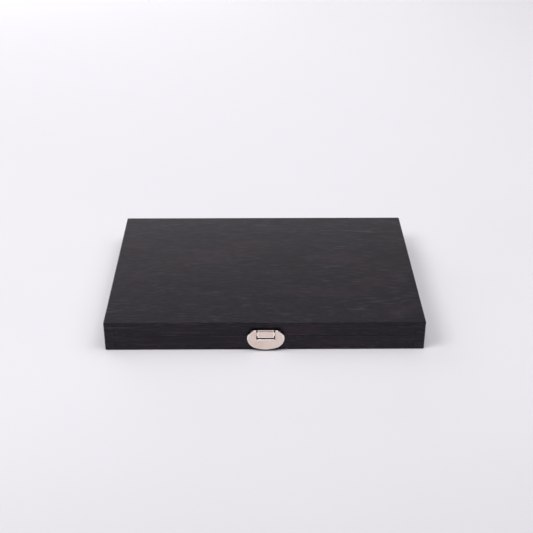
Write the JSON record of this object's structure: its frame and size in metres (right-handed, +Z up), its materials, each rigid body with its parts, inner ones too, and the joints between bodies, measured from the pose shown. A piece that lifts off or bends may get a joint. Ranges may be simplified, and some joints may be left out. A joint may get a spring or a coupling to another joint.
{
  "type": "drawing set box",
  "caption": "Flat hinged wooden box with an oval front clasp, finger lapped corners, notched rests and dividers, holding pencils, sticks, erasers and a sharpener.",
  "frame": {"origin": "centre of the underside of the base board, on the surface that the box stands on", "axes": "+X along the width, to the right as seen from the front; -Y out of the front with the clasp; +Z up"},
  "size_m": [0.285, 0.2067, 0.0286],
  "materials": {
    "black_stained_wood": "satin black stain, fine grain",
    "satin_nickel": "satin nickel plate",
    "plated_steel": "nickel plated steel",
    "foam": "soft black foam",
    "inner_wood": "matt black stain",
    "pencil_wood": "lacquered, bare where sharpened",
    "graphite": "burnished graphite",
    "charcoal": "matt charcoal",
    "rolled_paper": "rolled paper",
    "card": "printed card, plain",
    "white_rubber": "soft matt",
    "grey_putty": "matt putty",
    "cast_light_metal": "satin cast"
  },
  "bodies": {
    "base": {"base_back_rail": "black_stained_wood", "base_front_rail": "black_stained_wood", "base_left_rail": "black_stained_wood", "base_panel": "black_stained_wood", "base_right_rail": "black_stained_wood", "charcoal_sticks": "charcoal", "cross_dividers": "inner_wood", "eraser": "white_rubber", "eraser_sleeve": "card", "graphite_stick": "graphite", "hinge_base_screws": "plated_steel", "hinge_left_base_leaf": "plated_steel", "hinge_left_pin": "plated_steel", "hinge_right_base_leaf": "plated_steel", "hinge_right_pin": "plated_steel", "kneaded_eraser": "grey_putty", "latch_keeper": "plated_steel", "latch_keeper_nails": "plated_steel", "long_divider_left": "inner_wood", "long_divider_right": "inner_wood", "paper_stumps": "rolled_paper", "pencil_01": "pencil_wood", "pencil_02": "pencil_wood", "pencil_03": "pencil_wood", "pencil_04": "pencil_wood", "pencil_05": "pencil_wood", "pencil_06": "pencil_wood", "pencil_07": "pencil_wood", "pencil_08": "pencil_wood", "pencil_09": "pencil_wood", "pencil_10": "pencil_wood", "pencil_11": "pencil_wood", "pencil_12": "pencil_wood", "pencil_leads": "graphite", "pencil_rest_back": "inner_wood", "pencil_rest_front": "inner_wood", "sharpener_blade": "plated_steel", "sharpener_body": "cast_light_metal", "sharpener_screw": "plated_steel", "stick_rest_back": "inner_wood", "stick_rest_front": "inner_wood"},
    "lid": {"hinge_left_lid_leaf": "plated_steel", "hinge_lid_screws": "plated_steel", "hinge_right_lid_leaf": "plated_steel", "latch_pin": "satin_nickel", "latch_strap": "satin_nickel", "latch_strap_nails": "plated_steel", "lid_back_rail": "black_stained_wood", "lid_front_rail": "black_stained_wood", "lid_left_rail": "black_stained_wood", "lid_pad": "foam", "lid_panel": "black_stained_wood", "lid_right_rail": "black_stained_wood"},
    "flap": {"latch_flap": "satin_nickel", "latch_clip": "plated_steel"}
  },
  "joints": [
    {"name": "lid_hinge", "type": "hinge", "parent": "base", "child": "lid", "pos_m": [0, 0.102, 0.0148], "axis": [-1, 0, 0], "range_deg": [0, 180]},
    {"name": "flap_hinge", "type": "hinge", "parent": "lid", "child": "flap", "pos_m": [0.0008, -0.1016, 0.0206], "axis": [-1, 0, 0], "range_deg": [0, 100]}
  ]
}
